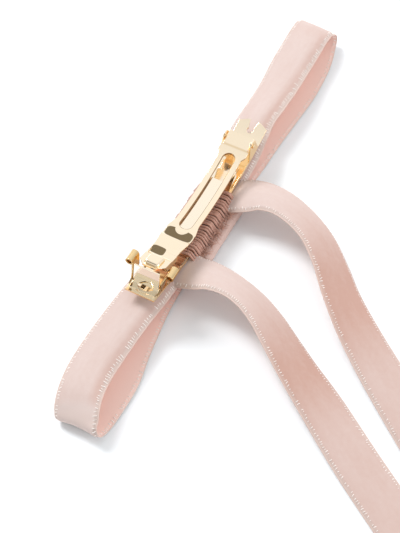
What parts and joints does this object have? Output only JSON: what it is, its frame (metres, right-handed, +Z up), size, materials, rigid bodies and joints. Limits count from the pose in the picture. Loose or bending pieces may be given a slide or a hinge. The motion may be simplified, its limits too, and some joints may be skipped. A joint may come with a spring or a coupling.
{
  "type": "barrette",
  "caption": "Velvet ribbon bow with long tails, sewn to a sprung hair clip whose curved bar hinges at one end and snaps into a catch at the other.",
  "frame": {"origin": "on the clip's centre line under the knot, on the surface the bow's front lies on", "axes": "+X along the clip towards its hinge, +Z up from the bow's front to the clasp, tails leave towards -Y"},
  "size_m": [0.1848, 0.1262, 0.0213],
  "materials": {
    "gold": "pale gold plating, bright, over pressed steel",
    "spring_gold": "pale gold plating, satin, over spring steel",
    "velvet": "pale blush velvet, matt, with woven edges",
    "thread": "dusty rose sewing thread"
  },
  "bodies": {
    "bow": {"base_plate": "gold", "catch_wall": "gold", "thread_winding": "thread", "knot_wrap": "velvet", "bow_core": "velvet", "loop_upper": "velvet", "loop_lower": "velvet", "tail_upper": "velvet", "tail_lower": "velvet"},
    "bar": {"clasp_bar": "gold"},
    "spring": {"tension_spring": "spring_gold"},
    "wing_left": {"catch_wing_left": "gold"},
    "wing_right": {"catch_wing_right": "gold"}
  },
  "joints": [
    {"name": "bar_hinge", "type": "hinge", "parent": "bow", "child": "bar", "pos_m": [0.0284, 0, 0.0163], "axis": [0, 1, 0], "range_deg": [0, 80]},
    {"name": "spring_flex", "type": "hinge", "parent": "bow", "child": "spring", "pos_m": [0.0196, 0, 0.0093], "axis": [0, -1, 0], "range_deg": [0, 3.5], "stiffness_Nm_per_rad": 0.5},
    {"name": "wing_left_flex", "type": "hinge", "parent": "bow", "child": "wing_left", "pos_m": [-0.0356, 0.0049, 0.0135], "axis": [-1, 0, 0], "range_deg": [0, 8], "stiffness_Nm_per_rad": 0.5},
    {"name": "wing_right_flex", "type": "hinge", "parent": "bow", "child": "wing_right", "pos_m": [-0.0356, -0.0049, 0.0135], "axis": [1, 0, 0], "range_deg": [0, 8], "stiffness_Nm_per_rad": 0.5}
  ]
}
